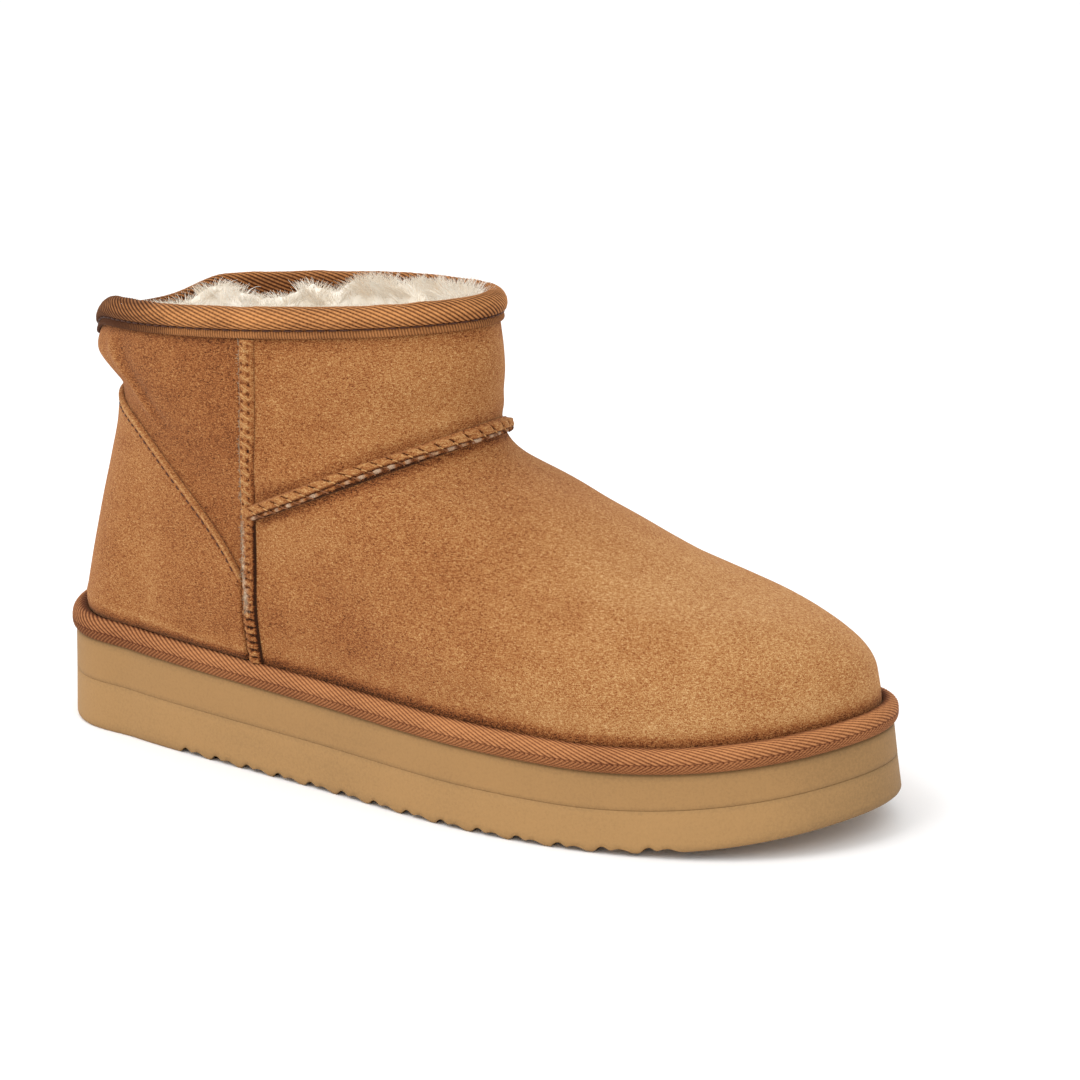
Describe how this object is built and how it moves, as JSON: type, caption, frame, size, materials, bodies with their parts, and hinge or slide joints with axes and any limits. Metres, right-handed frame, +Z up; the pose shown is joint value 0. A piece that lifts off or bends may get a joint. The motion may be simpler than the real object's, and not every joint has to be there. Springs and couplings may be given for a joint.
{
  "type": "sheepskin boot",
  "caption": "Low sheepskin ankle boot: suede outside, wool inside, rolled tape at the round collar, seamed vamp, heel counter and a thick layered foam platform sole.",
  "frame": {"origin": "middle of the boot's bounding box, on the ground it stands on", "axes": "+X to the toe, +Y to the inner side of the foot, +Z up"},
  "size_m": [0.2764, 0.1045, 0.1424],
  "materials": {
    "suede": "napped chestnut suede",
    "collar_twill": "ribbed woven tape",
    "piping_twill": "herringbone woven tape",
    "foam_upper": "matt tan foam",
    "foam_lower": "matt tan foam",
    "wool": "deep cream wool"
  },
  "bodies": {
    "root": {"outsole": "foam_lower", "midsole": "foam_upper", "welt_piping": "piping_twill", "insole": "wool", "upper": "suede", "heel_counter": "suede", "side_seam_lateral": "suede", "side_seam_medial": "suede", "instep_seam": "suede", "collar_binding": "collar_twill", "back_tab": "collar_twill", "shearling_lining": "wool"}
  },
  "joints": []
}
